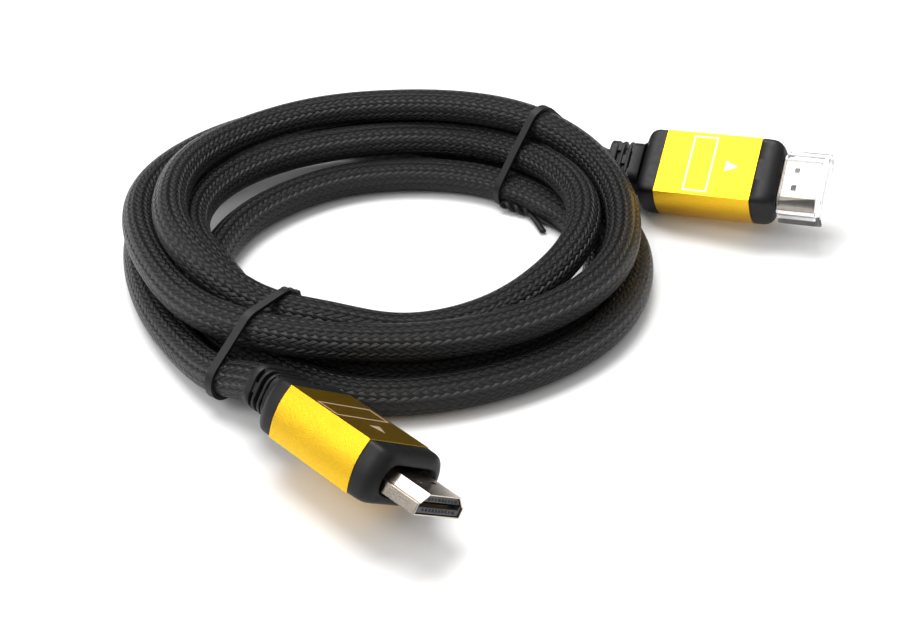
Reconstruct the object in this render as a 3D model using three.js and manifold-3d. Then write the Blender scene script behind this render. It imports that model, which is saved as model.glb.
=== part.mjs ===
// Braided video cable with gold-sleeved plugs, coiled and held by two ties, and a clear cap on one plug.
// Millimetres, +Z up. The coil lies on the ground, and one plug points towards -Y and the other towards +X.
import * as THREE from "three";
import Module from "manifold-3d";

const wasm = await Module();
wasm.setup();

// Driving dimensions of the cable and its coil
const CABLE_D = 8.2;
const COIL_R = 51.2;
const COIL_WIDTH = 3 * CABLE_D;
const COIL_HEIGHT = 2.7 * CABLE_D;
const COIL_SQUASH = 0.95;
const FRONT_LEAD_ANGLE = 237;
const REAR_LEAD_ANGLE = 42;
const TOUCH_GAP = 0.3;

// Driving dimensions of a tie
const TIE_WIDTH = 1.8;
const TIE_THICKNESS = 0.7;
const FRONT_TIE_ANGLE = 234;
const REAR_TIE_ANGLE = 47;
const TAIL_D = 1.8;

// Driving dimensions of a plug: its sleeve, collars and strain relief
const SLEEVE_WIDTH = 17.6;
const SLEEVE_HEIGHT = 11.4;
const SLEEVE_BULGE = 1.2;
const SLEEVE_LENGTH = 23.7;
const SLEEVE_WALL = 0.8;
const COLLAR_LENGTH = 5.4;
const COLLAR_ROUND = 2.4;
const SHOULDER_LENGTH = 5;
const NECK_LENGTH = 2.7;
const NECK_WIDTH = 12;
const NECK_HEIGHT = 9;
const RELIEF_LENGTH = 6.2;
const RIB_THICKNESS = 0.85;

// The metal shell of a type A video plug is a standard size: 13.9 by 4.45 outside, with 19 contacts
const SHELL_WIDTH = 13.9;
const SHELL_HEIGHT = 4.45;
const SHELL_SIDE = 2.4;
const SHELL_SHOULDER = 0.5;
const SHELL_NARROW = 9.3;
const SHELL_WALL = 0.3;
const SHELL_REACH = 9.2;
const WINDOW_WIDTH = 1.5;
const WINDOW_LENGTH = 1.3;
const WINDOW_SPACING = 4.9;
const WINDOW_FROM_TIP = 5.6;
const SLOT_WIDTH = 12;
const SLOT_HEIGHT = 1.2;
const SLOT_DEPTH = 7;
const CONTACT_COUNT = 19;
const CONTACT_PITCH = 1;
const CONTACT_WIDTH = 0.32;
const CONTACT_THICKNESS = 0.18;
const CONTACT_GAP = 0.05;

// Driving dimensions of the clear cap
const CAP_WALL = 1.3;
const CAP_PLAY = 0.55;
const CAP_END = 1.4;

// Where the plugs lie: the sleeve's rear end on its axis, from a point on the coil's middle line, with its turns
// in degrees. The coil's own middle is at the origin until the end.
function besideCoil(angle, x, y, z) {
  const radians = THREE.MathUtils.degToRad(angle);
  return [COIL_R * Math.cos(radians) + x, COIL_R * COIL_SQUASH * Math.sin(radians) + y, z];
}
const FRONT_PLUG = { place: besideCoil(247, 6.7, -24.3, 10.4), yaw: -46.6, pitch: 1.8, roll: 36 };
const REAR_PLUG = { place: besideCoil(32, 24.5, 1, 9.7), yaw: -21.9, pitch: 6.4, roll: -30 };

const COLOURS = {
  braid: new THREE.Color(0.02, 0.02, 0.022),
  moulding: new THREE.Color(0.03, 0.03, 0.032),
  gold: new THREE.Color(0.85, 0.6, 0.08),
  shell: new THREE.Color(0.72, 0.66, 0.55),
  contact: new THREE.Color(0.8, 0.62, 0.25),
  cap: new THREE.Color(0.9, 0.9, 0.9),
};

const group = new THREE.Group();
group.name = "video_cable";

function addNode(parent, name, geometry, colour, metalness = 0) {
  const material = new THREE.MeshStandardMaterial({ color: colour, metalness, roughness: 0.5 });
  const mesh = new THREE.Mesh(geometry, material);
  mesh.name = name;
  parent.add(mesh);
  return mesh;
}

// Solids joined and cut
function toSolid(geometry) {
  const flat = geometry.index ? geometry.toNonIndexed() : geometry;
  const found = new Map();
  const points = [];
  const corners = [];
  const source = flat.attributes.position;
  for (let i = 0; i < source.count; i++) {
    const p = [source.getX(i), source.getY(i), source.getZ(i)];
    const key = p.map((v) => Math.round(v * 1e4)).join(",");
    if (!found.has(key)) {
      found.set(key, points.length / 3);
      points.push(...p);
    }
    corners.push(found.get(key));
  }
  const kept = [];
  for (let i = 0; i < corners.length; i += 3) {
    const [a, b, c] = corners.slice(i, i + 3);
    if (a !== b && b !== c && c !== a) kept.push(a, b, c);
  }
  return new wasm.Manifold(
    new wasm.Mesh({ numProp: 3, vertProperties: new Float32Array(points), triVerts: new Uint32Array(kept) }),
  );
}

function toGeometry(solid) {
  const mesh = solid.getMesh();
  const step = mesh.numProp;
  const points = new Float32Array(mesh.numVert * 3);
  for (let i = 0; i < mesh.numVert; i++) {
    points.set(mesh.vertProperties.subarray(i * step, i * step + 3), i * 3);
  }
  const geometry = new THREE.BufferGeometry();
  geometry.setAttribute("position", new THREE.BufferAttribute(points, 3));
  geometry.setIndex(new THREE.BufferAttribute(new Uint32Array(mesh.triVerts), 1));
  geometry.computeVertexNormals();
  return geometry;
}

const joined = (...parts) => toGeometry(parts.map(toSolid).reduce((a, b) => a.add(b)));
const cut = (body, ...tools) => toGeometry(tools.map(toSolid).reduce((a, b) => a.subtract(b), toSolid(body)));
const shared = (a, b) => toGeometry(toSolid(a).intersect(toSolid(b)));

// A shape drawn in Y and Z, extruded from one X to another
function alongX(shape, from, to) {
  const geometry = new THREE.ExtrudeGeometry(shape, { depth: to - from, bevelEnabled: false, curveSegments: 5 });
  const axes = new THREE.Matrix4().makeBasis(
    new THREE.Vector3(0, 1, 0),
    new THREE.Vector3(0, 0, 1),
    new THREE.Vector3(1, 0, 0),
  );
  return geometry.applyMatrix4(axes).translate(from, 0, 0);
}

function boxAt(x, y, z, lengthX, lengthY, lengthZ) {
  return new THREE.BoxGeometry(lengthX, lengthY, lengthZ).translate(x, y, z);
}

// A closed skin over rings of points: rings run along +X, and each ring turns from +Y to +Z
function loft(rings) {
  const count = rings[0].length;
  const points = rings.flat();
  const faces = [];
  for (let i = 0; i + 1 < rings.length; i++) {
    for (let j = 0; j < count; j++) {
      const a = i * count + j;
      const b = i * count + ((j + 1) % count);
      faces.push(a, b, a + count, b, b + count, a + count);
    }
  }
  const last = (rings.length - 1) * count;
  for (let j = 1; j + 1 < count; j++) {
    faces.push(0, j + 1, j);
    faces.push(last, last + j, last + j + 1);
  }
  const geometry = new THREE.BufferGeometry();
  geometry.setAttribute("position", new THREE.Float32BufferAttribute(points.flat(), 3));
  geometry.setIndex(faces);
  return geometry;
}

// The housing's section: flat above and below, with bowed sides, drawn in by inset all round
const SIDE_STEPS = 6;
function housingOutline(inset) {
  const outline = [];
  for (const side of [1, -1]) {
    for (let i = 0; i <= SIDE_STEPS; i++) {
      const t = (2 * i) / SIDE_STEPS - 1;
      const half = SLEEVE_WIDTH / 2 - inset + SLEEVE_BULGE * (1 - t * t);
      outline.push([side * half, side * t * (SLEEVE_HEIGHT / 2 - inset)]);
    }
  }
  return outline;
}

const ringAt = (x, outline) => outline.map(([y, z]) => [x, y, z]);
const toShape = (outline) => new THREE.Shape(outline.map(([y, z]) => new THREE.Vector2(y, z)));

// A rounded rectangle's outline, wider than it is high
function roundedOutline(width, height, radius) {
  const outline = [];
  const corners = [
    [1, -1, -90],
    [1, 1, 0],
    [-1, 1, 90],
    [-1, -1, 180],
  ];
  for (const [sideY, sideZ, start] of corners) {
    for (let i = 0; i <= 3; i++) {
      const angle = THREE.MathUtils.degToRad(start + 30 * i);
      const y = sideY * (width / 2 - radius) + radius * Math.cos(angle);
      const z = sideZ * (height / 2 - radius) + radius * Math.sin(angle);
      outline.push([y, z]);
    }
  }
  return outline;
}

// The shell's outline: wide below, with a small shoulder and slopes up to its narrow face
function shellOutline(grow) {
  const half = SHELL_WIDTH / 2 + grow;
  const low = -SHELL_HEIGHT / 2 - grow;
  const shoulder = SHELL_HEIGHT / -2 + SHELL_SIDE;
  const right = [
    [half, low],
    [half, shoulder + grow / 2],
    [half - SHELL_SHOULDER, shoulder + SHELL_SHOULDER / 2 + grow / 2],
    [SHELL_NARROW / 2 + grow / 2, SHELL_HEIGHT / 2 + grow],
  ];
  const left = right.map(([y, z]) => [-y, z]).reverse();
  return [...right, ...left];
}

// The black moulding: a core inside the sleeve, a rounded shoulder behind it, a neck and a ribbed strain relief
function bootGeometry() {
  const shoulder = [];
  for (const [x, inset] of [
    [-SHOULDER_LENGTH, COLLAR_ROUND],
    [-SHOULDER_LENGTH * 0.9, COLLAR_ROUND * 0.55],
    [-SHOULDER_LENGTH * 0.7, COLLAR_ROUND * 0.22],
    [-SHOULDER_LENGTH * 0.4, 0],
    [-TOUCH_GAP, 0],
  ]) {
    shoulder.push(ringAt(x, housingOutline(inset)));
  }
  const core = toShape(housingOutline(SLEEVE_WALL + TOUCH_GAP));
  const neckEnd = -SHOULDER_LENGTH - NECK_LENGTH;
  const reliefEnd = neckEnd - RELIEF_LENGTH;
  const neck = toShape(roundedOutline(NECK_WIDTH, NECK_HEIGHT, 3));
  const rib = toShape(roundedOutline(NECK_WIDTH + 0.6, NECK_HEIGHT + 0.6, 3.2));
  const waist = toShape(roundedOutline(NECK_WIDTH - 2.6, NECK_HEIGHT - 1.6, 2.6));
  const groove = (RELIEF_LENGTH - 2 * RIB_THICKNESS - 2) / 3;
  const parts = [
    loft(shoulder),
    alongX(core, -1, SLEEVE_LENGTH - 4),
    alongX(neck, neckEnd, -SHOULDER_LENGTH + 1),
    alongX(waist, reliefEnd, neckEnd + 1),
    alongX(rib, reliefEnd, reliefEnd + 2),
  ];
  for (let i = 1; i <= 2; i++) {
    const x = neckEnd - i * groove - (i - 1) * RIB_THICKNESS;
    parts.push(alongX(rib, x - RIB_THICKNESS, x));
  }
  for (let i = 0; i < 3; i++) {
    const x = neckEnd - groove / 2 - i * (groove + RIB_THICKNESS);
    const across = i % 2 ? 0.9 : NECK_WIDTH / 3.2;
    const placed = i % 2 ? [0] : [-1, 1];
    for (const side of placed) {
      parts.push(boxAt(x, side * across, 0, groove + 0.4, 2.6, NECK_HEIGHT));
    }
  }
  return joined(...parts);
}

function sleeveGeometry() {
  const shape = toShape(housingOutline(0));
  shape.holes.push(new THREE.Path(toShape(housingOutline(SLEEVE_WALL)).getPoints().reverse()));
  return alongX(shape, 0, SLEEVE_LENGTH);
}

// The front collar: it rounds off towards the shell, which comes out through it
function collarGeometry() {
  const rings = [];
  for (const [along, inset] of [
    [0, 0],
    [0.5, 0.02],
    [0.72, 0.12],
    [0.86, 0.3],
    [0.96, 0.6],
    [1, 1],
  ]) {
    const x = SLEEVE_LENGTH + TOUCH_GAP + along * COLLAR_LENGTH;
    rings.push(ringAt(x, housingOutline(inset * COLLAR_ROUND)));
  }
  const mouth = toShape(shellOutline(TOUCH_GAP));
  return cut(loft(rings), alongX(mouth, SLEEVE_LENGTH - 1, SLEEVE_LENGTH + COLLAR_LENGTH + 2));
}

const TIP_X = SLEEVE_LENGTH + TOUCH_GAP + COLLAR_LENGTH + SHELL_REACH;
const SHELL_START_X = SLEEVE_LENGTH - 4 + TOUCH_GAP;

function shellGeometry() {
  const shape = toShape(shellOutline(0));
  shape.holes.push(new THREE.Path(toShape(shellOutline(-SHELL_WALL)).getPoints().reverse()));
  const windows = [1, -1].map((side) =>
    boxAt(
      TIP_X - WINDOW_FROM_TIP,
      (side * WINDOW_SPACING) / 2,
      SHELL_HEIGHT / 2,
      WINDOW_LENGTH,
      WINDOW_WIDTH,
      3 * SHELL_WALL,
    ),
  );
  return cut(alongX(shape, SHELL_START_X, TIP_X), ...windows);
}

// Contacts alternate between the lower and the upper wall of the slot, half a pitch apart
function contactPlace(index) {
  const across = ((index - (CONTACT_COUNT - 1) / 2) * CONTACT_PITCH) / 2;
  const up = SLOT_HEIGHT / 2 - CONTACT_GAP - CONTACT_THICKNESS / 2;
  return [across, index % 2 === 1 ? up : -up];
}

// The insulator fills the shell, and its slot takes the socket's tongue. Blender adds the small cavities
function insulatorGeometry() {
  const shape = toShape(shellOutline(-SHELL_WALL - TOUCH_GAP / 2));
  const body = alongX(shape, SHELL_START_X, TIP_X - 0.35);
  const slot = boxAt(TIP_X - SLOT_DEPTH / 2, 0, 0, SLOT_DEPTH, SLOT_WIDTH, SLOT_HEIGHT);
  return cut(body, slot);
}

// A plug's own +X points to its tip and +Z through the shell's narrow face
function plugMatrix(pose) {
  const [yaw, pitch, roll] = [pose.yaw, pose.pitch, pose.roll].map(THREE.MathUtils.degToRad);
  const axis = new THREE.Vector3(
    Math.cos(pitch) * Math.cos(yaw),
    Math.cos(pitch) * Math.sin(yaw),
    Math.sin(pitch),
  );
  const level = new THREE.Vector3(-Math.sin(yaw), Math.cos(yaw), 0);
  const raised = new THREE.Vector3().crossVectors(axis, level);
  const side = level.clone().multiplyScalar(Math.cos(roll)).addScaledVector(raised, -Math.sin(roll));
  const top = new THREE.Vector3().crossVectors(axis, side);
  return new THREE.Matrix4().makeBasis(axis, side, top).setPosition(...pose.place);
}

function addPlug(name, pose) {
  const plug = new THREE.Group();
  plug.name = name + "_plug";
  plug.applyMatrix4(plugMatrix(pose));
  group.add(plug);
  addNode(plug, name + "_boot", bootGeometry(), COLOURS.moulding);
  addNode(plug, name + "_gold_sleeve", sleeveGeometry(), COLOURS.gold, 1);
  addNode(plug, name + "_collar", collarGeometry(), COLOURS.moulding);
  addNode(plug, name + "_shell", shellGeometry(), COLOURS.shell, 1);
  addNode(plug, name + "_insulator", insulatorGeometry(), COLOURS.moulding);
  for (let i = 0; i < CONTACT_COUNT; i++) {
    const [y, z] = contactPlace(i);
    const length = SLOT_DEPTH - 2;
    const x = TIP_X - SLOT_DEPTH + length / 2 + TOUCH_GAP;
    const contact = boxAt(x, y, z, length, CONTACT_WIDTH, CONTACT_THICKNESS);
    const label = String(i + 1).padStart(2, "0");
    addNode(plug, name + "_contact_" + label, contact, COLOURS.contact, 1);
  }
  return plug;
}

// The clear cap: open behind, closed in front of the shell's tip
function capGeometry() {
  const start = SLEEVE_LENGTH + 2 * TOUCH_GAP + COLLAR_LENGTH;
  const inside = toShape(shellOutline(CAP_PLAY));
  const outside = toShape(shellOutline(CAP_PLAY + CAP_WALL));
  const end = TIP_X + TOUCH_GAP + CAP_END;
  return cut(alongX(outside, start, end), alongX(inside, start - 1, end - CAP_END));
}

// The coil's section: a flat foot on the ground and a rounded heap of turns above it
const FOOT_ROUND = 3;
function coilSection(grow, foot) {
  const half = COIL_WIDTH / 2 + grow;
  const rise = COIL_HEIGHT + grow - FOOT_ROUND;
  const points = [new THREE.Vector2(COIL_R - half + FOOT_ROUND, foot), new THREE.Vector2(COIL_R + half - FOOT_ROUND, foot)];
  for (let i = 0; i <= 8; i++) {
    const angle = (Math.PI * i) / 8;
    points.push(new THREE.Vector2(COIL_R + half * Math.cos(angle), FOOT_ROUND + rise * Math.sin(angle)));
  }
  points.push(points[0].clone());
  return points;
}

function coilRing(grow, foot) {
  const geometry = new THREE.LatheGeometry(coilSection(grow, foot), 64);
  return geometry.rotateX(Math.PI / 2).scale(1, COIL_SQUASH, 1);
}

// A block across the coil's section at an angle round it, from one height to another
function blockAcross(angle, width, low, high) {
  const length = COIL_WIDTH + 12;
  const radians = THREE.MathUtils.degToRad(angle);
  const block = boxAt(COIL_R, 0, (low + high) / 2, length, width, high - low).rotateZ(radians);
  return block.translate(0, COIL_R * (COIL_SQUASH - 1) * Math.sin(radians), 0);
}

// The coil: the turns as one ring, with a groove under each tie and a bay where a plug lies against it
function coilGeometry() {
  const grooves = [FRONT_TIE_ANGLE, REAR_TIE_ANGLE].map((angle) =>
    blockAcross(angle, TIE_WIDTH + 2 * TOUCH_GAP, -1, FOOT_ROUND),
  );
  const bays = [FRONT_PLUG, REAR_PLUG].map((pose) => {
    const room = 3 * TOUCH_GAP;
    const start = -SHOULDER_LENGTH - NECK_LENGTH - RELIEF_LENGTH - TOUCH_GAP;
    const relief = boxAt(start / 2, 0, 0, -start, NECK_WIDTH + 0.6 + room, NECK_HEIGHT + 0.6 + room);
    const end = -SHOULDER_LENGTH - TOUCH_GAP;
    const width = SLEEVE_WIDTH + 2 * SLEEVE_BULGE + room;
    const shoulder = boxAt(end + SLEEVE_LENGTH / 2, 0, 0, SLEEVE_LENGTH, width, SLEEVE_HEIGHT + room);
    return joined(relief, shoulder).applyMatrix4(plugMatrix(pose));
  });
  return cut(coilRing(0, 0), ...grooves, ...bays);
}

// A lead: a plain tube from a plug's strain relief into the coil, cut off where it meets the coil
function leadGeometry(pose, angle, height) {
  const start = -SHOULDER_LENGTH - NECK_LENGTH - RELIEF_LENGTH - TOUCH_GAP;
  const matrix = plugMatrix(pose);
  const points = [0, 3, 6].map((back) => new THREE.Vector3(start - back, 0, 0).applyMatrix4(matrix));
  const radians = THREE.MathUtils.degToRad(angle);
  points.push(new THREE.Vector3(COIL_R * Math.cos(radians), COIL_R * COIL_SQUASH * Math.sin(radians), height));
  const path = new THREE.CatmullRomCurve3(points, false, "centripetal");
  const section = new THREE.Shape();
  section.absarc(0, 0, CABLE_D / 2, 0, 2 * Math.PI);
  const round = new THREE.Shape(section.getSpacedPoints(12).slice(0, 12));
  const tube = new THREE.ExtrudeGeometry(round, { steps: 5, extrudePath: path, bevelEnabled: false });
  return cut(tube, coilRing(TOUCH_GAP, -1));
}

// A tie: a flat band round the coil's section, with its twisted ends
function tieGeometry(angle, tails) {
  const outer = coilRing(TOUCH_GAP + TIE_THICKNESS, TOUCH_GAP);
  const inner = coilRing(TOUCH_GAP, TOUCH_GAP + TIE_THICKNESS);
  const band = shared(outer, blockAcross(angle, TIE_WIDTH, -1, COIL_HEIGHT + 5));
  const radians = THREE.MathUtils.degToRad(angle);
  const middle = [COIL_R * Math.cos(radians), COIL_R * COIL_SQUASH * Math.sin(radians), 0];
  const twists = tails.map((tail) => {
    const path = new THREE.CatmullRomCurve3(tail.map((p) => new THREE.Vector3(...p)));
    const section = new THREE.Shape();
    section.absarc(0, 0, TAIL_D / 2, 0, 2 * Math.PI);
    const round = new THREE.Shape(section.getSpacedPoints(8).slice(0, 8));
    const twist = new THREE.ExtrudeGeometry(round, { steps: 6, extrudePath: path, bevelEnabled: false });
    return twist.rotateZ(radians).translate(...middle);
  });
  return cut(joined(band, ...twists), inner);
}

const INSIDE = -COIL_WIDTH / 2;
const TOP = COIL_HEIGHT;
const FRONT_TAILS = [
  [
    [INSIDE * 0.5, 0, TOP * 0.92],
    [INSIDE * 0.75, 0.2, TOP * 0.93],
    [INSIDE * 0.98, 1.5, TOP * 0.82],
  ],
];
const REAR_TAILS = [
  [
    [INSIDE - 0.4, 0, 4],
    [INSIDE - 3.5, 0.6, 2.2],
    [INSIDE - 9, 3.5, 1.2],
    [INSIDE - 14, 7, 1.1],
  ],
  [
    [INSIDE - 0.4, 0, 4],
    [INSIDE - 3.5, -0.4, 2.2],
    [INSIDE - 9, -2.5, 1.2],
    [INSIDE - 13, -6, 1.1],
  ],
];

addNode(group, "cable_coil", coilGeometry(), COLOURS.braid);
addNode(group, "front_lead", leadGeometry(FRONT_PLUG, FRONT_LEAD_ANGLE, COIL_HEIGHT / 3), COLOURS.braid);
addNode(group, "rear_lead", leadGeometry(REAR_PLUG, REAR_LEAD_ANGLE, COIL_HEIGHT / 2), COLOURS.braid);
addNode(group, "front_tie", tieGeometry(FRONT_TIE_ANGLE, FRONT_TAILS), COLOURS.moulding);
addNode(group, "rear_tie", tieGeometry(REAR_TIE_ANGLE, REAR_TAILS), COLOURS.moulding);
addPlug("front", FRONT_PLUG);
const rearPlug = addPlug("rear", REAR_PLUG);
addNode(rearPlug, "clear_cap", capGeometry(), COLOURS.cap);

// The origin is the middle of the whole part, on the ground
group.updateMatrixWorld(true);
const whole = new THREE.Box3().setFromObject(group, true);
const middle = whole.getCenter(new THREE.Vector3());
group.position.set(-middle.x, -middle.y, -whole.min.z);
group.updateMatrixWorld(true);

export default group;
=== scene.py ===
import math

import bmesh
import bpy
import numpy as np
from mathutils import Matrix, Vector


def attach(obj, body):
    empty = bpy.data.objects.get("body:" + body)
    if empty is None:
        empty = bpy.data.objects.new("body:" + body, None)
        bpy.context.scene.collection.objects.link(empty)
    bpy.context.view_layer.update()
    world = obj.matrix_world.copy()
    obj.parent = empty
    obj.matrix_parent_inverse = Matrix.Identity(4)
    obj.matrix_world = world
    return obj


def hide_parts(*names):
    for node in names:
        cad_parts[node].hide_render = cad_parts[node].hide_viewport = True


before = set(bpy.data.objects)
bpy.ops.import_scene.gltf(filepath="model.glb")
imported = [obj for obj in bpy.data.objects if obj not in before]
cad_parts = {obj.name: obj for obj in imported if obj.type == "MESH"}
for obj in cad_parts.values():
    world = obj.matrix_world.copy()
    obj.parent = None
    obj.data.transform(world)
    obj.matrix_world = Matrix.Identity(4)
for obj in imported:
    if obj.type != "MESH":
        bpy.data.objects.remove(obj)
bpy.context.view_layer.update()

# The camera looks down at 36 degrees onto the coil, as in the photograph.
# Its place was found from the two plugs, whose shells are a standard size.
MM = 0.001
camera = bpy.data.objects.new("camera", bpy.data.cameras.new("camera"))
bpy.context.scene.collection.objects.link(camera)
camera.data.sensor_width = 36
camera.data.lens = 63.16
camera.data.clip_start = 0.01
camera.data.clip_end = 20
camera.location = Vector((-6.58, -295.95, 215.72)) * MM
camera.rotation_mode = "QUATERNION"
camera.rotation_quaternion = Vector(
    (0, math.cos(math.radians(36)), -math.sin(math.radians(36)))
).to_track_quat("-Z", "Y")
bpy.context.scene.camera = camera

# The cable: one braided cable of about 1.44 m from the rear plug, through four and a half turns, to the
# front plug. Each station is a turn angle in degrees, a radius and a height in millimetres.
CABLE_D = 8.2
COIL_MIDDLE = (-23.58, 22.95)
STATIONS = {
    "out of the rear plug, on to the upper outside": [
        (36.5, 63.3, 8.1), (44, 57.8, 9.0), (54, 53.2, 10.6), (67, 50.4, 12), (80, 49.4, 12.6), (95, 49.2, 12.6),
        (110, 50.2, 12.6), (125, 52.2, 12.6), (138, 54.2, 12.8), (150, 55.8, 13), (162, 57.6, 13), (175, 58, 13),
        (190, 56.3, 13), (205, 54.7, 13), (220, 54, 13), (233, 53.4, 13.1),
    ],
    "upper front and right": [
        (245, 52.2, 13), (258, 50.8, 12.9), (270, 50.2, 12.8), (282, 50.8, 12.8), (294, 51.8, 12.8),
        (308, 53.5, 12.9), (322, 55.2, 13), (336, 56.5, 13), (350, 56.4, 13), (364, 56.2, 13.2), (376, 56, 13.6),
        (386, 55, 15), (396, 52.4, 16.8), (408, 48.9, 18.3), (420, 46.2, 18.6),
    ],
    "highest, over the back and the left": [
        (435, 44.4, 18.2), (450, 43.4, 17.9), (465, 44, 17.5), (480, 45.2, 17.2), (495, 46.4, 17.2),
        (510, 47.5, 17.8), (525, 48.4, 18.8), (540, 48.8, 19.8), (555, 49.4, 20.2), (568, 49, 19),
        (580, 47.6, 16.4), (592, 45.6, 13.8), (604, 43.8, 12.3),
    ],
    "inner front and right": [
        (618, 42.4, 10.4), (635, 42, 9.3), (650, 42.4, 9.3), (665, 43, 9.6), (680, 43.6, 10.6), (695, 45, 11.8),
        (710, 46.6, 12.5), (725, 47.4, 12.7), (740, 47.4, 12.2), (755, 46.4, 11.7), (768, 45, 11.5),
    ],
    "middle of the back, then down to the floor": [
        (782, 42.4, 11.4), (796, 39.8, 11.4), (810, 38.2, 11.4), (828, 37.6, 11.4), (845, 38.8, 11.4),
        (860, 40.6, 11.6), (875, 42.8, 12), (890, 44.4, 12.6), (903, 44.8, 12.7), (916, 44.4, 12.6),
        (928, 43.2, 11), (938, 42.2, 8), (948, 41.8, 5.4), (960, 42, 4.3),
    ],
    "front and right on the floor, under the upper turns": [
        (975, 44.6, 4.2), (990, 48.2, 4.1), (1005, 49.6, 4.1), (1020, 50.2, 4.1), (1035, 51, 4.1),
        (1050, 51.9, 4.1), (1065, 52.1, 4.1), (1078, 51, 4.1), (1090, 48.6, 4.1), (1100, 45.6, 4.1),
        (1110, 42.6, 4.1),
    ],
    "innermost, on the floor": [
        (1122, 40, 4.1), (1137, 36.8, 4.1), (1152, 34.2, 4.1), (1170, 32.2, 4.1), (1190, 31.7, 4.2),
        (1210, 32, 4.2), (1230, 33.8, 4.2), (1247, 36.4, 4.2), (1262, 39, 4.2), (1276, 42, 4.2),
        (1290, 45.6, 4.2), (1303, 48.4, 4.2), (1316, 50.2, 4.2),
    ],
    "outermost, on the floor in front and to the right": [
        (1328, 53, 4.2), (1340, 56.4, 4.2), (1352, 57.8, 4.2), (1365, 57.9, 4.2), (1378, 58.4, 4.2),
        (1392, 59.4, 4.1), (1406, 60.6, 4.1), (1420, 60.5, 4.1), (1433, 59.4, 4.1), (1446, 57.6, 4.1),
        (1460, 54.6, 4.1),
    ],
    "back and left on the floor, under the upper turns": [
        (1474, 51.6, 4.1), (1490, 50.2, 4.1), (1505, 50, 4.1), (1520, 50.6, 4.1), (1535, 53, 4.1),
        (1550, 57, 4.1), (1563, 60, 4.1), (1576, 61.2, 4.1), (1590, 61, 4.1), (1603, 60.2, 4.1),
        (1615, 58.8, 4.1), (1628, 57.5, 4.1), (1641, 57, 4.1), (1654, 57.6, 4.1), (1666, 59.2, 4.5),
        (1676, 61.8, 5.8), (1684, 63.8, 7.5),
    ],
}


def plug_axes(yaw, pitch, roll):
    """A plug's own axes: towards its tip, to its left and out of its narrow face."""
    yaw, pitch, roll = (math.radians(v) for v in (yaw, pitch, roll))
    tip = Vector((math.cos(pitch) * math.cos(yaw), math.cos(pitch) * math.sin(yaw), math.sin(pitch)))
    level = Vector((-math.sin(yaw), math.cos(yaw), 0))
    side = level * math.cos(roll) - tip.cross(level) * math.sin(roll)
    return tip, side, tip.cross(side)


def plug_matrix(place, yaw, pitch, roll):
    tip, side, top = plug_axes(yaw, pitch, roll)
    turn = Matrix((tip, side, top)).transposed().to_4x4()
    return Matrix.Translation(Vector(place)) @ turn


PLUGS = {
    "front": plug_matrix((-35.851, -48.328, 10.4), -46.6, 1.8, 36),
    "rear": plug_matrix((45.374, 47.520, 9.7), -21.9, 6.4, -30),
}
RELIEF_END = -13.9


def catmull_rom(points, per_span):
    """A smooth line through the points."""
    p = np.vstack([2 * points[0] - points[1], points, 2 * points[-1] - points[-2]])
    t = np.linspace(0, 1, per_span, endpoint=False)[:, None]
    spans = []
    for a, b, c, d in zip(p[:-3], p[1:-2], p[2:-1], p[3:]):
        square, cube = 2 * a - 5 * b + 4 * c - d, 3 * b - a - 3 * c + d
        spans.append(0.5 * (2 * b + (c - a) * t + square * t**2 + cube * t**3))
    return np.vstack(spans + [points[-1:]])


def evenly(points, count):
    """The same line with its points an equal distance apart."""
    along = np.concatenate([[0], np.cumsum(np.linalg.norm(np.diff(points, axis=0), axis=1))])
    at = np.linspace(0, along[-1], count)
    return np.stack([np.interp(at, along, points[:, k]) for k in range(3)], axis=1)


def settle(line, diameter, rounds):
    """Pushes strands that lie in each other apart, and keeps them on or above the floor."""
    step = np.linalg.norm(line[1] - line[0])
    near = int(2.2 * diameter / step)
    count = len(line)
    hold = np.clip(np.minimum(np.arange(count), np.arange(count)[::-1]) / 8.0, 0, 1)[:, None]
    apart = np.abs(np.subtract.outer(np.arange(count), np.arange(count))) > near
    for _ in range(rounds):
        gap = line[:, None, :] - line[None, :, :]
        dist = np.linalg.norm(gap, axis=2) + 1e-9
        short = np.where(apart, np.clip(diameter + 0.12 - dist, 0, None), 0)
        touching = np.maximum((short > 0).sum(1), 1)[:, None]
        push = (gap / dist[:, :, None] * short[:, :, None]).sum(1) / touching
        for _ in range(6):
            push[1:-1] = 0.25 * push[:-2] + 0.5 * push[1:-1] + 0.25 * push[2:]
        line = line + 0.6 * push * hold
        bend = np.zeros_like(line)
        bend[1:-1] = 0.5 * (line[:-2] + line[2:]) - line[1:-1]
        fair = np.zeros_like(line)
        fair[1:-1] = bend[1:-1] - 0.5 * (bend[:-2] + bend[2:])
        line = line + 0.25 * fair * hold
        line[:, 2] = np.maximum(line[:, 2], diameter / 2 + 0.02)
    return line


def cable_line():
    points = []
    rear, front = PLUGS["rear"], PLUGS["front"]
    for back in (-1.5, 3.5):
        points.append(np.array(rear @ Vector((RELIEF_END - back, 0, 0))))
    for stations in STATIONS.values():
        for angle, radius, height in stations:
            a = math.radians(angle)
            x = COIL_MIDDLE[0] + radius * math.cos(a)
            y = COIL_MIDDLE[1] + radius * math.sin(a)
            points.append(np.array((x, y, height)))
    for back in (3.5, -1.5):
        points.append(np.array(front @ Vector((RELIEF_END - back, 0, 0))))
    dense = catmull_rom(np.array(points), 12)
    line = settle(evenly(dense, 620), CABLE_D, 160)
    return evenly(line, 1150)


def turning_frames(line):
    """Two directions across the line at each point, carried along it without twist."""
    along = np.gradient(line, axis=0)
    along /= np.linalg.norm(along, axis=1)[:, None]
    across = np.zeros_like(line)
    across[0] = np.cross(along[0], (0, 0, 1))
    across[0] /= np.linalg.norm(across[0])
    for i in range(1, len(line)):
        v = across[i - 1] - along[i] * np.dot(across[i - 1], along[i])
        across[i] = v / np.linalg.norm(v)
    return across, np.cross(along, across)


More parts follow.
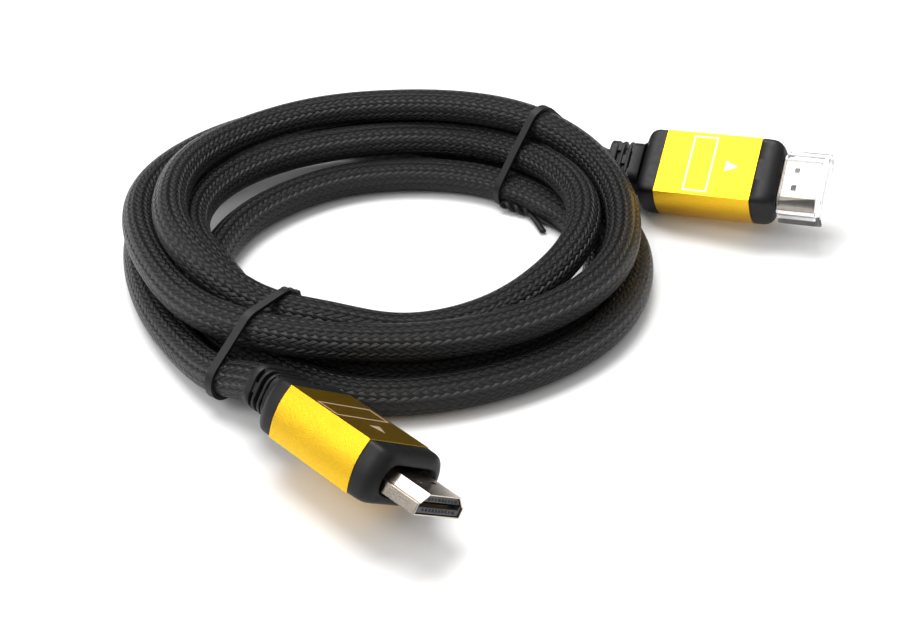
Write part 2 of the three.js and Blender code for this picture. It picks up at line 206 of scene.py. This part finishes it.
def tube(name, line, radius, sides):
    """A closed tube with UVs: turns round it in U and millimetres along it in V."""
    across, over = turning_frames(line)
    angles = np.linspace(0, 2 * math.pi, sides, endpoint=False)
    cosines, sines = np.cos(angles)[None, :, None], np.sin(angles)[None, :, None]
    ring = across[:, None, :] * cosines + over[:, None, :] * sines
    points = (line[:, None, :] + ring * radius).reshape(-1, 3) * MM
    rings = len(line)
    i, j = np.meshgrid(np.arange(rings - 1), np.arange(sides), indexing="ij")
    k = (j + 1) % sides
    near, far = i * sides, (i + 1) * sides
    faces = np.stack([near + j, near + k, far + k, far + j], axis=-1).reshape(-1, 4)
    caps = [list(range(sides))[::-1], list(range((rings - 1) * sides, rings * sides))]
    mesh = bpy.data.meshes.new(name)
    mesh.from_pydata(points.tolist(), [], faces.tolist() + caps)
    along = np.concatenate([[0], np.cumsum(np.linalg.norm(np.diff(line, axis=0), axis=1))])
    layer = mesh.uv_layers.new(name="around")
    uv = np.zeros((len(mesh.loops), 2))
    u0, u1 = j / sides, (j + 1) / sides
    v0, v1 = along[i], along[i + 1]
    quads = np.stack(
        [np.stack([u0, v0], -1), np.stack([u1, v0], -1), np.stack([u1, v1], -1), np.stack([u0, v1], -1)], axis=2
    )
    uv[: quads.size // 2] = quads.reshape(-1, 2)
    layer.data.foreach_set("uv", uv.ravel())
    mesh.polygons.foreach_set("use_smooth", [True] * len(mesh.polygons))
    mesh.update()
    return mesh


def shown(name, mesh, material, body):
    piece = bpy.data.objects.new(name, mesh)
    bpy.context.scene.collection.objects.link(piece)
    mesh.materials.clear()
    mesh.materials.append(material)
    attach(piece, body)
    return piece


class Nodes:
    """Short calls for a material's nodes."""

    def __init__(self, name):
        self.material = bpy.data.materials.new(name)
        self.material.use_nodes = True
        self.tree = self.material.node_tree
        self.shader = self.tree.nodes["Principled BSDF"]

    def add(self, kind, **values):
        node = self.tree.nodes.new(kind)
        for key, value in values.items():
            setattr(node, key, value)
        return node

    def link(self, source, target):
        self.tree.links.new(source, target)

    def math(self, operation, *inputs):
        node = self.add("ShaderNodeMath", operation=operation)
        for socket, value in zip(node.inputs, inputs):
            if hasattr(value, "default_value"):
                self.link(value, socket)
            else:
                socket.default_value = value
        return node.outputs[0]

    def ramp(self, value, stops):
        node = self.add("ShaderNodeValToRGB")
        self.link(value, node.inputs[0])
        while len(node.color_ramp.elements) < len(stops):
            node.color_ramp.elements.new(0.5)
        for element, (place, colour) in zip(node.color_ramp.elements, stops):
            element.position = place
            element.color = (*colour, 1)
        return node.outputs[0]

    def noise(self, scale, detail=2.0):
        place = self.add("ShaderNodeTexCoord")
        node = self.add("ShaderNodeTexNoise")
        node.inputs["Scale"].default_value = scale
        node.inputs["Detail"].default_value = detail
        self.link(place.outputs["Object"], node.inputs["Vector"])
        return node.outputs["Fac"]

    def bump(self, height, distance, strength=1.0):
        node = self.add("ShaderNodeBump")
        node.inputs["Distance"].default_value = distance
        node.inputs["Strength"].default_value = strength
        self.link(height, node.inputs["Height"])
        self.link(node.outputs["Normal"], self.shader.inputs["Normal"])

    def set(self, **values):
        for key, value in values.items():
            self.shader.inputs[key.replace("_", " ")].default_value = value


# 24 yarns wind each way round the cable, and each passes over two and under two of the others. That gives
# columns of chevrons along the cable.
YARNS = 24
PITCH = 50.0


def braid_material():
    m = Nodes("black braid")
    uv = m.add("ShaderNodeUVMap", uv_map="around")
    split = m.add("ShaderNodeSeparateXYZ")
    m.link(uv.outputs[0], split.inputs[0])
    round_, along = split.outputs[0], m.math("DIVIDE", split.outputs[1], PITCH)
    right = m.math("MULTIPLY", m.math("ADD", round_, along), YARNS)
    left = m.math("MULTIPLY", m.math("SUBTRACT", round_, along), YARNS)
    i, j = m.math("FLOOR", right), m.math("FLOOR", left)
    phase = m.math("FLOORED_MODULO", m.math("ADD", i, j), 4.0)
    right_over = m.math("LESS_THAN", phase, 1.5)
    # Across each yarn, and where along its float it is
    across_right = m.math("SUBTRACT", m.math("FRACT", right), 0.5)
    across_left = m.math("SUBTRACT", m.math("FRACT", left), 0.5)
    across = m.math(
        "ADD",
        m.math("MULTIPLY", right_over, across_right),
        m.math("MULTIPLY", m.math("SUBTRACT", 1.0, right_over), across_left),
    )
    # A float spans two cells: its place along it runs from 0 to 1
    span_right = m.math("DIVIDE", m.math("FLOORED_MODULO", m.math("ADD", left, i), 4.0), 2.0)
    shifted = m.math("ADD", m.math("ADD", right, j), 2.0)
    span_left = m.math("DIVIDE", m.math("FLOORED_MODULO", shifted, 4.0), 2.0)
    span = m.math(
        "ADD",
        m.math("MULTIPLY", right_over, span_right),
        m.math("MULTIPLY", m.math("SUBTRACT", 1.0, right_over), span_left),
    )
    round_top = m.math("SUBTRACT", 1.0, m.math("MULTIPLY", 4.0, m.math("MULTIPLY", across, across)))
    hump = m.math("SINE", m.math("MULTIPLY", m.math("FRACT", span), math.pi))
    crown = m.math("POWER", m.math("MAXIMUM", round_top, 0.0), 0.6)
    height = m.math("MULTIPLY", crown, m.math("ADD", 0.35, m.math("MULTIPLY", 0.65, hump)))
    fibre = m.math("SINE", m.math("MULTIPLY", across, 34.0))
    whole = m.math("ADD", height, m.math("MULTIPLY", 0.06, fibre))
    m.bump(whole, 0.45 * MM)
    # The colour follows the yarn's height: painted shade in the gaps between the yarns, the yarn's own black in
    # between, and a painted highlight on each crown.
    gap_painted_shade, yarn_black, crown_painted_highlight = (0.0008, 0.0008, 0.001), (0.003, 0.003, 0.0035), (0.012, 0.012, 0.0135)
    colour = m.ramp(height, [(0.0, gap_painted_shade), (0.5, yarn_black), (1.0, crown_painted_highlight)])
    m.link(colour, m.shader.inputs["Base Color"])
    m.set(Roughness=0.36)
    m.shader.inputs["Specular IOR Level"].default_value = 0.36
    return m.material


line = cable_line()
cable = shown("cable", tube("cable", line, CABLE_D / 2, 32), braid_material(), "cable")
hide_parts("cable_coil", "front_lead", "rear_lead")


# Shapes of the plugs, in a plug's own frame in millimetres: +X to the tip, +Z out of the narrow face.
def polygon_radii(polygon, count):
    """How far a closed outline lies from its middle, at even angles."""
    p = np.array(polygon, float)
    q = np.roll(p, -1, axis=0)
    radii = []
    for angle in np.linspace(0, 2 * math.pi, count, endpoint=False):
        d = np.array((math.cos(angle), math.sin(angle)))
        edge = q - p
        cross = edge[:, 0] * d[1] - edge[:, 1] * d[0]
        cross = np.where(np.abs(cross) < 1e-9, 1e-9, cross)
        t = (p[:, 1] * d[0] - p[:, 0] * d[1]) / cross
        r = (p[:, 1] * edge[:, 0] - p[:, 0] * edge[:, 1]) / cross
        hits = r[(t >= -1e-6) & (t <= 1 + 1e-6) & (r > 0)]
        radii.append(hits.max())
    return np.array(radii)


def softened(radii, passes):
    for _ in range(passes):
        radii = 0.25 * np.roll(radii, 1) + 0.5 * radii + 0.25 * np.roll(radii, -1)
    return radii


RING_POINTS = 144


def ring_of(radii, x):
    angles = np.linspace(0, 2 * math.pi, len(radii), endpoint=False)
    return [(x, r * math.cos(a), r * math.sin(a)) for r, a in zip(radii, angles)]


def housing(inset, steps=24):
    """The housing's outline: flat above and below, with bowed sides."""
    outline = []
    for side in (1, -1):
        for k in range(steps + 1):
            t = 2 * k / steps - 1
            outline.append((side * (8.8 - inset + 1.2 * (1 - t * t)), side * t * (5.7 - inset)))
    return outline


def shell_outline(grow):
    half, low, shoulder = 6.95 + grow, -2.225 - grow, 0.175
    right = [
        (half, low), (half, shoulder + grow / 2), (half - 0.5, shoulder + 0.25 + grow / 2),
        (4.65 + grow / 2, 2.225 + grow),
    ]
    return right + [(-y, z) for y, z in reversed(right)]


def rounded_box(width, height, radius, steps=8):
    outline = []
    for sy, sz, start in ((1, -1, -90), (1, 1, 0), (-1, 1, 90), (-1, -1, 180)):
        for k in range(steps + 1):
            a = math.radians(start + 90 * k / steps)
            y = sy * (width / 2 - radius) + radius * math.cos(a)
            z = sz * (height / 2 - radius) + radius * math.sin(a)
            outline.append((y, z))
    return outline


def loft_into(bm, rings, matrix, close=True, sharp=()):
    """Joins rings of points, and closes the two ends. The columns in sharp stay crisp."""
    rows = [[bm.verts.new(matrix @ Vector(p) * MM) for p in ring] for ring in rings]
    count = len(rings[0])
    for low, high in zip(rows, rows[1:]):
        for k in range(count):
            n = (k + 1) % count
            face = bm.faces.new((low[k], low[n], high[n], high[k]))
            face.smooth = True
    if close:
        bm.faces.new(rows[0][::-1])
        bm.faces.new(rows[-1])
    bm.edges.ensure_lookup_table()
    for low, high in zip(rows, rows[1:]):
        for k in sharp:
            edge = bm.edges.get((low[k], high[k]))
            if edge:
                edge.smooth = False
    return rows


def box_into(bm, low, high, matrix):
    made = bmesh.ops.create_cube(bm, size=1)
    size = Vector(high) - Vector(low)
    middle = (Vector(high) + Vector(low)) / 2
    for v in made["verts"]:
        v.co = matrix @ (Vector((v.co.x * size.x, v.co.y * size.y, v.co.z * size.z)) + middle) * MM


def mesh_of(name, bm, sharp_degrees=None):
    bm.normal_update()
    if sharp_degrees is not None:
        for edge in bm.edges:
            if len(edge.link_faces) == 2 and edge.calc_face_angle(0) > math.radians(sharp_degrees):
                edge.smooth = False
    for face in bm.faces:
        face.smooth = True
    mesh = bpy.data.meshes.new(name)
    bm.to_mesh(mesh)
    bm.free()
    return mesh


# Materials of the plugs: black moulded plastic with a fine satin grain, sandblasted gold-anodised metal, a
# bright warm plating on the shell, and a clear cap.
def moulding_material():
    m = Nodes("black moulding")
    grain = m.noise(5200, 2)
    m.bump(grain, 0.03 * MM, 0.5)
    m.set(Base_Color=(0.006, 0.006, 0.007, 1))
    m.shader.inputs["Specular IOR Level"].default_value = 0.28
    m.link(m.ramp(m.noise(900, 3), [(0.3, (0.42,) * 3), (0.7, (0.52,) * 3)]), m.shader.inputs["Roughness"])
    return m.material


def gold_material():
    m = Nodes("gold anodised")
    grain = m.noise(4200, 3)
    m.bump(grain, 0.09 * MM, 1.0)
    deep, bright = (0.74, 0.42, 0.012), (0.86, 0.54, 0.03)
    m.link(m.ramp(m.noise(5200, 2), [(0.35, deep), (0.65, bright)]), m.shader.inputs["Base Color"])
    m.set(Metallic=1.0, Roughness=0.3)
    return m.material


def shell_material():
    m = Nodes("plated shell")
    m.bump(m.noise(2600, 2), 0.012 * MM, 0.5)
    dull, pale = (0.60, 0.53, 0.45), (0.70, 0.62, 0.53)
    m.link(m.ramp(m.noise(700, 2), [(0.3, dull), (0.7, pale)]), m.shader.inputs["Base Color"])
    m.set(Metallic=1.0, Roughness=0.19)
    return m.material


moulding, gold, plating = moulding_material(), gold_material(), shell_material()
insulator_black = Nodes("insulator")
insulator_black.set(Base_Color=(0.055, 0.055, 0.06, 1), Roughness=0.45)
contact_gold = Nodes("contact gold")
contact_gold.set(Base_Color=(0.85, 0.62, 0.25, 1), Metallic=1.0, Roughness=0.25)
mark_colour = Nodes("etched mark")
mark_colour.set(Base_Color=(0.74, 0.53, 0.40, 1), Metallic=0.5, Roughness=0.42)


# The moulding behind the sleeve: a rounded shoulder, a neck, and a strain relief of thin ribs joined by
# staggered bridges, all moulded on to the cable in one piece.
def boot_piece(name, matrix):
    bm = bmesh.new()
    neck = polygon_radii(rounded_box(12, 9, 2.6), RING_POINTS)
    rings = []
    for x, inset, passes in (
        (-7.9, None, 0), (-5.6, None, 0), (-5.12, None, 3), (-5.0, 2.5, 10), (-4.85, 1.8, 8), (-4.5, 1.1, 6),
        (-3.9, 0.5, 4), (-3.1, 0.15, 3), (-2.2, 0.0, 2), (-0.12, 0.0, 1),
        (-0.02, 0.12, 1), (-0.02, 0.9, 1), (0.6, 1.15, 0),
    ):
        if inset is None:
            rings.append(ring_of(softened(neck + (0.35 if passes else 0), passes), x))
        else:
            rings.append(ring_of(softened(polygon_radii(housing(inset), RING_POINTS), passes), x))
    loft_into(bm, rings, matrix)
    waist = polygon_radii(rounded_box(9.4, 7.3, 2.4), RING_POINTS)
    loft_into(bm, [ring_of(waist, -13.6), ring_of(waist, -7.5)], matrix)
    rib = polygon_radii(rounded_box(12.4, 9.4, 3.0), RING_POINTS)
    for low, high in ((-13.9, -11.9), (-10.95, -10.1), (-9.15, -8.3)):
        rings = [ring_of(rib - 0.28, low), ring_of(rib - 0.08, low + 0.08), ring_of(rib, low + 0.24)]
        rings += [ring_of(rib, high - 0.24), ring_of(rib - 0.08, high - 0.08), ring_of(rib - 0.28, high)]
        loft_into(bm, rings, matrix)
    for low, high, middles in ((-12.1, -10.7, (-3.6, 3.6)), (-10.3, -8.9, (0,)), (-8.6, -7.6, (-3.6, 3.6))):
        for y in middles:
            box_into(bm, (low, y - 1.15, -4.35), (high, y + 1.15, 4.35), matrix)
    for low, high, z in ((-12.1, -10.7, 0), (-8.6, -7.6, 0)):
        box_into(bm, (low, -5.85, z - 1.1), (high, 5.85, z + 1.1), matrix)
    return mesh_of(name, bm, 38)


# The front collar: its edges roll over and its face dips in round the shell.
def collar_piece(name, matrix):
    bm = bmesh.new()
    mouth = polygon_radii(shell_outline(0.22), RING_POINTS)
    face = softened(polygon_radii(housing(2.1), RING_POINTS), 16)
    rings = []
    for x, inset, passes in (
        (23.0, 1.15, 0), (23.85, 0.9, 1), (23.85, 0.12, 1), (23.95, 0.0, 1), (26.4, 0.0, 3), (27.4, 0.14, 5),
        (28.2, 0.48, 8), (28.8, 0.95, 11), (29.2, 1.5, 14), (29.38, 2.1, 16),
    ):
        rings.append(ring_of(softened(polygon_radii(housing(inset), RING_POINTS), passes), x))
    dip = ((0.12, 29.4), (0.25, 29.25), (0.42, 28.75), (0.6, 28.15), (0.8, 27.6), (0.95, 27.35), (1.0, 27.2))
    for t, x in dip:
        rings.append(ring_of(softened(face * (1 - t) + mouth * t, 0), x))
    rings.append(ring_of(mouth, 24.5))
    loft_into(bm, rings, matrix)
    return mesh_of(name, bm, 50)


# The gold sleeve: a drawn tube with crisp edges along its flat faces, 0.8 mm thick.
def sleeve_piece(name, matrix):
    bm = bmesh.new()
    steps = 24

    def ring(x, inset):
        return [(x, y, z) for y, z in housing(inset, steps)]

    corners = (0, steps, steps + 1, 2 * steps + 1)
    rows = loft_into(
        bm,
        [
            ring(0.7, 0.8), ring(0.0, 0.8), ring(0.0, 0.06), ring(0.06, 0.0),
            ring(23.64, 0.0), ring(23.7, 0.06), ring(23.7, 0.8), ring(23.0, 0.8),
        ],
        matrix, close=False, sharp=corners,
    )
    for k in range(len(rows[0])):
        n = (k + 1) % len(rows[0])
        bm.faces.new((rows[-1][k], rows[-1][n], rows[0][n], rows[0][k]))
    bmesh.ops.recalc_face_normals(bm, faces=bm.faces)
    return mesh_of(name, bm, 24)


# Pale marks etched into the sleeve's narrow face: a bare frame, and an arrow towards the tip.
def marks_piece(name, matrix):
    bm = bmesh.new()
    z0, z1 = 5.69, 5.712
    line = 0.42
    x0, x1, half = 7.0, 13.1, 7.8
    box_into(bm, (x0, -half, z0), (x0 + line, half, z1), matrix)
    box_into(bm, (x1 - line, -half, z0), (x1, half, z1), matrix)
    box_into(bm, (x0 + line, -half, z0), (x1 - line, -half + line, z1), matrix)
    box_into(bm, (x0 + line, half - line, z0), (x1 - line, half, z1), matrix)
    arrow = [(16.2, -1.5), (19.4, 0), (16.2, 1.5)]
    low = [bm.verts.new(matrix @ Vector((x, y, z0)) * MM) for x, y in arrow]
    high = [bm.verts.new(matrix @ Vector((x, y, z1)) * MM) for x, y in arrow]
    bm.faces.new(low[::-1])
    bm.faces.new(high)
    for k in range(3):
        n = (k + 1) % 3
        bm.faces.new((low[k], low[n], high[n], high[k]))
    bmesh.ops.recalc_face_normals(bm, faces=bm.faces)
    return mesh_of(name, bm, 30)


def dress_node(node, material, bevel=0.0):
    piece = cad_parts[node]
    piece.data.materials.clear()
    piece.data.materials.append(material)
    if bevel:
        weld = piece.modifiers.new("weld", "WELD")
        weld.merge_threshold = 1e-6
        edge = piece.modifiers.new("edges", "BEVEL")
        edge.width = bevel * MM
        edge.segments = 3
        edge.limit_method = "ANGLE"
        edge.angle_limit = math.radians(25)
        edge.harden_normals = False


# The insulator: a moulded block with the slot for the socket's tongue. A row of small cavities opens over the
# slot and another under it, half a pitch apart.
TIP_FACE = 38.25
CAVITY_DEPTH = 2.0
CAVITY = (0.56, 0.62)
CAVITY_OFFSET = 1.1
CONTACT_COUNT = 19


def insulator_piece(name, side, matrix):
    bm = bmesh.new()
    bm.from_mesh(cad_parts[f"{side}_insulator"].data)
    bmesh.ops.remove_doubles(bm, verts=bm.verts, dist=1e-6)
    block = bpy.data.objects.new(f"{name}_block", mesh_of(f"{name}_block", bm, 30))
    bm = bmesh.new()
    for i in range(CONTACT_COUNT):
        y, z = (i - (CONTACT_COUNT - 1) / 2) / 2, CAVITY_OFFSET if i % 2 else -CAVITY_OFFSET
        low = (TIP_FACE - CAVITY_DEPTH, y - CAVITY[0] / 2, z - CAVITY[1] / 2)
        box_into(bm, low, (TIP_FACE + 1, y + CAVITY[0] / 2, z + CAVITY[1] / 2), matrix)
    bmesh.ops.recalc_face_normals(bm, faces=bm.faces)
    cutter = bpy.data.objects.new(f"{name}_cutter", mesh_of(f"{name}_cutter", bm, 30))
    for thing in (block, cutter):
        bpy.context.scene.collection.objects.link(thing)
    cut = block.modifiers.new("cavities", "BOOLEAN")
    cut.operation, cut.solver, cut.object = "DIFFERENCE", "EXACT", cutter
    depsgraph = bpy.context.evaluated_depsgraph_get()
    mesh = bpy.data.meshes.new_from_object(block.evaluated_get(depsgraph))
    for thing in (block, cutter):
        bpy.data.objects.remove(thing)
    mesh.name = name
    mesh.materials.clear()
    return mesh


for side, matrix in PLUGS.items():
    for kind, make, material, slot in (
        ("boot", boot_piece, moulding, "moulding"),
        ("collar", collar_piece, moulding, "moulding"),
        ("gold_sleeve", sleeve_piece, gold, "gold_sleeve"),
    ):
        piece = shown(f"{side}_{kind}_shape", make(f"{side}_{kind}_shape", matrix), material, "cable")
        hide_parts(f"{side}_{kind}")
    shown(f"{side}_marks", marks_piece(f"{side}_marks", matrix), mark_colour.material, "cable")
    dress_node(f"{side}_shell", plating, 0.12)
    name = f"{side}_insulator_shape"
    piece = shown(name, insulator_piece(name, side, matrix), insulator_black.material, "cable")
    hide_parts(f"{side}_insulator")
    for i in range(1, CONTACT_COUNT + 1):
        dress_node(f"{side}_contact_{i:02d}", contact_gold.material)

# The cable is a cord with the front plug fast on its free end. The names of that plug's pieces are listed here.
front_pieces = ["front_boot_shape", "front_gold_sleeve_shape", "front_collar_shape"]
front_pieces += ["front_shell", "front_insulator_shape"]
front_pieces += [f"front_contact_{i:02d}" for i in range(1, CONTACT_COUNT + 1)]

# The clear cap pushed on to the rear plug, so that the shell shows through it.
clear = Nodes("clear plastic")
clear.set(Base_Color=(0.96, 0.97, 0.98, 1), Roughness=0.06, IOR=1.3)
clear.shader.inputs["Transmission Weight"].default_value = 1.0
dress_node("clear_cap", clear.material, 0.45)


# The two ties: flat plastic strips with a wire core, drawn tight round the strands where they pass. The ends
# of each are twisted together.
TIE_WIDTH = 1.9
TIE_THICKNESS = 0.8
TIE_CLEARANCE = 0.12  # between the strip and the strands
LOWEST = 0.9  # the inside of the strip under the coil, less its clearance, over the floor
TIE_REACH = 26  # strands this far along the plane from the tie's place are inside it
tie_black = Nodes("tie plastic")
tie_black.set(Base_Color=(0.006, 0.006, 0.007, 1), Roughness=0.5)
tie_black.shader.inputs["Specular IOR Level"].default_value = 0.3


def strands_at(line, place, direction):
    """Where the cable passes through an upright plane: along its direction, and up."""
    d = np.array(direction) / np.hypot(*direction)
    across = np.array((-d[1], d[0]))
    side = (line[:, :2] - place) @ across
    found = []
    for k in np.nonzero(side[:-1] * side[1:] < 0)[0]:
        t = side[k] / (side[k] - side[k + 1])
        point = line[k] * (1 - t) + line[k + 1] * t
        along = float((point[:2] - place) @ d)
        if abs(along) < TIE_REACH:
            found.append((along, float(point[2])))
    return found


def hull(points):
    """The convex outline of points in a plane, anticlockwise."""
    points = sorted(set(points))
    halves = []
    for run in (points, points[::-1]):
        half = []
        for p in run:
            while len(half) > 1:
                (ax, ay), (bx, by) = half[-2], half[-1]
                if (bx - ax) * (p[1] - ay) - (by - ay) * (p[0] - ax) > 0:
                    break
                half.pop()
            half.append(p)
        halves.append(half[:-1])
    return halves[0] + halves[1]


def tie_loop(bm, line, place, direction):
    d = np.array(direction) / np.hypot(*direction)
    across = np.array((-d[1], d[0], 0)) * TIE_WIDTH / 2
    rings = []
    for clear_by in (TIE_CLEARANCE, TIE_CLEARANCE + TIE_THICKNESS):
        radius = CABLE_D / 2 + clear_by
        turn = np.linspace(0, 2 * math.pi, 40, endpoint=False)
        circle = [(radius * math.cos(a), radius * math.sin(a)) for a in turn]
        outline = hull([
            (round(s + cy, 4), round(max(z + cz, LOWEST - clear_by), 4))
            for s, z in strands_at(line, place, direction)
            for cy, cz in circle
        ])
        middle = np.array(outline).mean(axis=0)
        radii = polygon_radii(np.array(outline) - middle, 120)
        angles = np.linspace(0, 2 * math.pi, 120, endpoint=False)
        rings.append([(middle[0] + r * math.cos(a), middle[1] + r * math.sin(a)) for r, a in zip(radii, angles)])
    place3 = np.array((*place, 0))
    d3 = np.array((*d, 0))
    corners = []
    for ring, side in ((rings[0], -1), (rings[0], 1), (rings[1], 1), (rings[1], -1)):
        start = place3 + across * side
        corners.append([bm.verts.new((start + d3 * s + np.array((0, 0, z))) * MM) for s, z in ring])
    count = len(corners[0])
    for a, b in zip(corners, corners[1:] + corners[:1]):
        for k in range(count):
            n = (k + 1) % count
            bm.faces.new((a[k], a[n], b[n], b[k]))


def strip_into(bm, points, radius, flat=1.0):
    """A closed round or flattened strip along points."""
    run = catmull_rom(np.array(points, float), 8)
    across, over = turning_frames(run)
    rows = []
    for p, u, v in zip(run, across, over):
        rows.append([
            bm.verts.new((p + (u * math.cos(a) + v * math.sin(a) * flat) * radius) * MM)
            for a in np.linspace(0, 2 * math.pi, 10, endpoint=False)
        ])
    for low, high in zip(rows, rows[1:]):
        for k in range(10):
            n = (k + 1) % 10
            bm.faces.new((low[k], low[n], high[n], high[k]))
    bm.faces.new(rows[0][::-1])
    bm.faces.new(rows[-1])


def twisted_into(bm, start, end, turns, reach):
    """Two strips wound round each other from start to end."""
    start, end = np.array(start, float), np.array(end, float)
    along = (end - start) / np.linalg.norm(end - start)
    u = np.cross(along, (0, 0, 1))
    u /= np.linalg.norm(u)
    v = np.cross(along, u)
    for phase in (0, math.pi):
        points = []
        for t in np.linspace(0, 1, int(10 * turns) + 1):
            a = phase + 2 * math.pi * turns * t
            points.append(start + (end - start) * t + (u * math.cos(a) + v * math.sin(a)) * reach)
        strip_into(bm, points, 0.62, 0.75)


ORIGIN = np.array((-6.58, 0.95, 0))


def tie_piece(name, place, direction, twist, tails):
    bm = bmesh.new()
    tie_loop(bm, line, np.array(place) + ORIGIN[:2], direction)
    twisted_into(bm, np.array(twist[0]) + ORIGIN, np.array(twist[1]) + ORIGIN, 1.6, 0.55)
    for tail in tails:
        strip_into(bm, [np.array(p) + ORIGIN for p in tail], 0.85, 0.6)
    bmesh.ops.recalc_face_normals(bm, faces=bm.faces)
    return mesh_of(name, bm, 40)


for name, place, direction, twist, tails in (
    (
        "front_tie", (-41.5, -22), (-0.6, -0.8),
        ((-37.4, -15.6, 17.2), (-33.8, -14.4, 15.4)), (),
    ),
    (
        "rear_tie", (16.6, 51.3), (0.715, 0.70),
        ((11.5, 43.6, 2.2), (18.6, 40.2, 1.4)),
        (
            ((18.2, 40.4, 1.6), (19.6, 37.8, 1.2), (20.6, 35.2, 1.0), (21.4, 32.9, 0.9)),
            ((18.8, 40.4, 1.4), (21.8, 37.6, 1.1), (24.6, 34.9, 0.9), (26.8, 32.4, 0.9)),
        ),
    ),
):
    strip = tie_piece(f"{name}_strip", place, direction, twist, tails)
    piece = shown(f"{name}_strip", strip, tie_black.material, "cable")
    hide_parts(name)

# The floor is a plain white sheet, lit so that it goes to pure white away from the coil. The sky is bright
# overhead and dim near the horizon, like a light tent in a dark room.
floor_mesh = bpy.data.meshes.new("floor")
floor_mesh.from_pydata([(-3, -3, 0), (3, -3, 0), (3, 3, 0), (-3, 3, 0)], [], [(0, 1, 2, 3)])
floor = bpy.data.objects.new("floor", floor_mesh)
bpy.context.scene.collection.objects.link(floor)
paper = Nodes("white floor")
paper.set(Base_Color=(0.93, 0.93, 0.93, 1), Roughness=0.7)
floor_mesh.materials.append(paper.material)

world = bpy.data.worlds.new("studio")
bpy.context.scene.world = world
world.use_nodes = True
sky = world.node_tree
place = sky.nodes.new("ShaderNodeTexCoord")
split = sky.nodes.new("ShaderNodeSeparateXYZ")
sky.links.new(place.outputs["Generated"], split.inputs[0])
fade = sky.nodes.new("ShaderNodeValToRGB")
sky.links.new(split.outputs[2], fade.inputs[0])
fade.color_ramp.elements[0].position = 0.22
fade.color_ramp.elements[0].color = (0.05, 0.05, 0.052, 1)
fade.color_ramp.elements[1].position = 0.6
fade.color_ramp.elements[1].color = (1, 1, 1, 1)
sky.links.new(fade.outputs[0], sky.nodes["Background"].inputs[0])
sky.nodes["Background"].inputs[1].default_value = 0.75


def area_light(name, place, target, size, power):
    light = bpy.data.lights.new(name, "AREA")
    light.shape = "RECTANGLE"
    light.size, light.size_y = size
    light.energy = power
    lamp = bpy.data.objects.new(name, light)
    bpy.context.scene.collection.objects.link(lamp)
    lamp.location = place
    lamp.rotation_mode = "QUATERNION"
    lamp.rotation_quaternion = (Vector(target) - Vector(place)).to_track_quat("-Z", "Y")


area_light("top_light", (-0.15, 0.35, 0.9), (0, 0, 0), (0.7, 0.5), 9)
area_light("left_light", (-0.75, -0.15, 0.55), (0, 0, 0), (0.35, 0.6), 3)
bpy.context.scene.view_settings.view_transform = "Standard"
